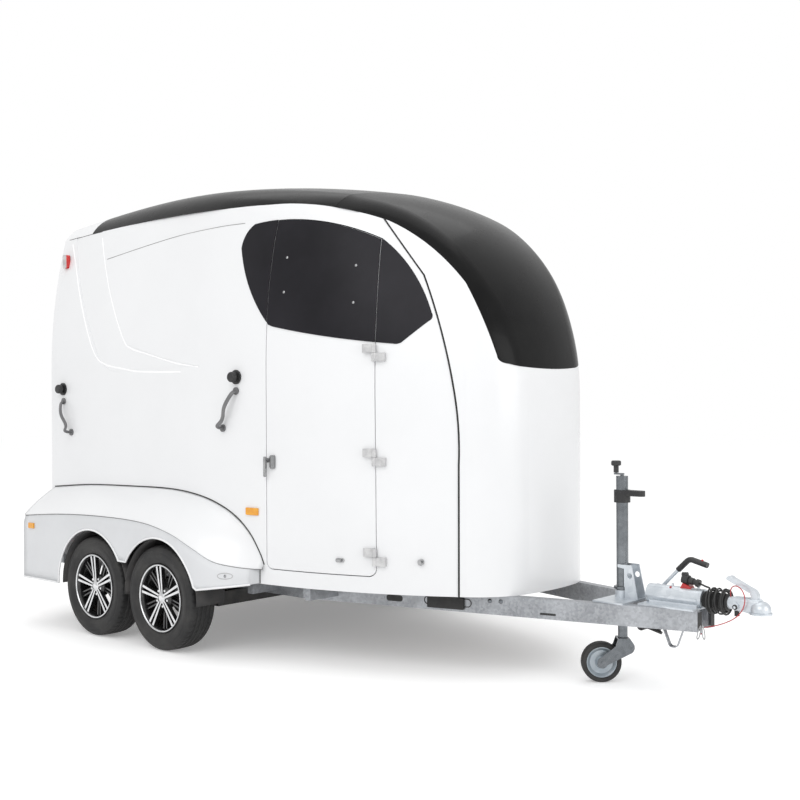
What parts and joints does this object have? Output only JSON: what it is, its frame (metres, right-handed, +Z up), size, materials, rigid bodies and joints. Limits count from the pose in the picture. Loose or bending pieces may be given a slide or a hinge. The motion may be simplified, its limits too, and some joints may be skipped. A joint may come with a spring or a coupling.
{
  "type": "twin-axle horse trailer",
  "caption": "Twin-axle horse trailer with a moulded black hood, rear ramp and flap, side door, V drawbar, overrun coupling and jockey wheel.",
  "frame": {"origin": "on the ground, under the middle of the overall length and width", "axes": "+X forward to the coupling, +Y to the left, +Z up"},
  "size_m": [4.6083, 2.256, 2.732],
  "materials": {
    "white_panel": "satin gel coat",
    "black_roof": "gloss",
    "dark_acrylic": "gloss, dark tinted",
    "galvanised": "hot-dip galvanised",
    "tyre": "matte",
    "alloy": "machined face over black",
    "black_steel": "satin",
    "rubber": "matte",
    "floor": "phenolic faced ply",
    "black_plastic": "matte",
    "red_plastic": "gloss",
    "amber": "lens",
    "grey_plastic": "matte",
    "zinc": "zinc plated",
    "chrome": "polished"
  },
  "bodies": {
    "trailer": {"nose_shell": "white_panel", "wall_right": "white_panel", "wall_left": "white_panel", "roof_cap": "white_panel", "rear_frame": "white_panel", "fender_left": "white_panel", "fender_right": "white_panel", "roof": "black_roof", "hood": "black_roof", "nose_seals": "rubber", "bellows": "rubber", "fixed_windows": "dark_acrylic", "floor": "floor", "chassis_rails": "galvanised", "cross_members": "galvanised", "jockey_outer_tube": "galvanised", "jockey_clamp": "galvanised", "rear_hinges_fixed": "galvanised", "axle_front": "black_steel", "axle_rear": "black_steel", "overrun_housing": "black_steel", "coupling_head": "black_steel", "door_hinges_fixed": "black_plastic", "door_stay_eye": "zinc", "handbrake_lever": "zinc", "tie_handles": "black_plastic", "bar_knobs": "black_plastic", "jockey_grips": "black_plastic", "coupling_lever": "black_plastic", "handbrake_grip": "black_plastic", "plug": "black_plastic", "lead_coil": "black_plastic", "lead": "black_plastic", "side_markers": "amber", "rear_lamps": "red_plastic", "plug_socket": "red_plastic", "breakaway_cable": "red_plastic", "brake_gear": "galvanised"},
    "groom_door": {"groom_door": "white_panel", "door_window": "dark_acrylic", "door_hinges_door": "black_plastic", "door_lever": "chrome", "door_catches": "zinc"},
    "ramp": {"ramp": "white_panel", "ramp_hinge_eyes": "galvanised"},
    "top_flap": {"top_flap": "white_panel", "flap_hinge_eyes": "galvanised"},
    "jockey_leg": {"jockey_inner_tube": "galvanised"},
    "jockey_swivel": {"jockey_fork": "galvanised"},
    "jockey_roller": {"jockey_rim": "grey_plastic", "jockey_tyre": "rubber"},
    "wheel_front_left": {"tyre_front_left": "tyre", "rim_front_left": "alloy"},
    "wheel_front_right": {"tyre_front_right": "tyre", "rim_front_right": "alloy"},
    "wheel_rear_left": {"tyre_rear_left": "tyre", "rim_rear_left": "alloy"},
    "wheel_rear_right": {"tyre_rear_right": "tyre", "rim_rear_right": "alloy"}
  },
  "joints": [
    {"name": "groom_door_hinge", "type": "hinge", "parent": "trailer", "child": "groom_door", "pos_m": [0.4705, -0.72144, 1.1], "axis": [0, 0, 1], "range_deg": [0, 110]},
    {"name": "ramp_hinge", "type": "hinge", "parent": "trailer", "child": "ramp", "pos_m": [-2.3073, 0, 0.464], "axis": [0, -1, 0], "range_deg": [0, 108.5]},
    {"name": "top_flap_hinge", "type": "hinge", "parent": "trailer", "child": "top_flap", "pos_m": [-2.3073, 0, 2.47], "axis": [0, 1, 0], "range_deg": [0, 95]},
    {"name": "jockey_slide", "type": "slide", "parent": "trailer", "child": "jockey_leg", "axis": [0, 0, 1], "range_m": [0, 0.1]},
    {"name": "jockey_swivel", "type": "hinge", "parent": "jockey_leg", "child": "jockey_swivel", "pos_m": [1.503, 0, 0.22], "axis": [0, 0, 1], "continuous": true},
    {"name": "jockey_spin", "type": "hinge", "parent": "jockey_swivel", "child": "jockey_roller", "pos_m": [1.42125, -0.0736, 0.1], "axis": [-0.6691, 0.7431, 0], "continuous": true},
    {"name": "wheel_front_left_spin", "type": "hinge", "parent": "trailer", "child": "wheel_front_left", "pos_m": [-0.847, 1.012, 0.298], "axis": [0, 1, 0], "continuous": true},
    {"name": "wheel_front_right_spin", "type": "hinge", "parent": "trailer", "child": "wheel_front_right", "pos_m": [-0.847, -1.012, 0.298], "axis": [0, 1, 0], "continuous": true},
    {"name": "wheel_rear_left_spin", "type": "hinge", "parent": "trailer", "child": "wheel_rear_left", "pos_m": [-1.5, 1.012, 0.298], "axis": [0, 1, 0], "continuous": true},
    {"name": "wheel_rear_right_spin", "type": "hinge", "parent": "trailer", "child": "wheel_rear_right", "pos_m": [-1.5, -1.012, 0.298], "axis": [0, 1, 0], "continuous": true}
  ]
}
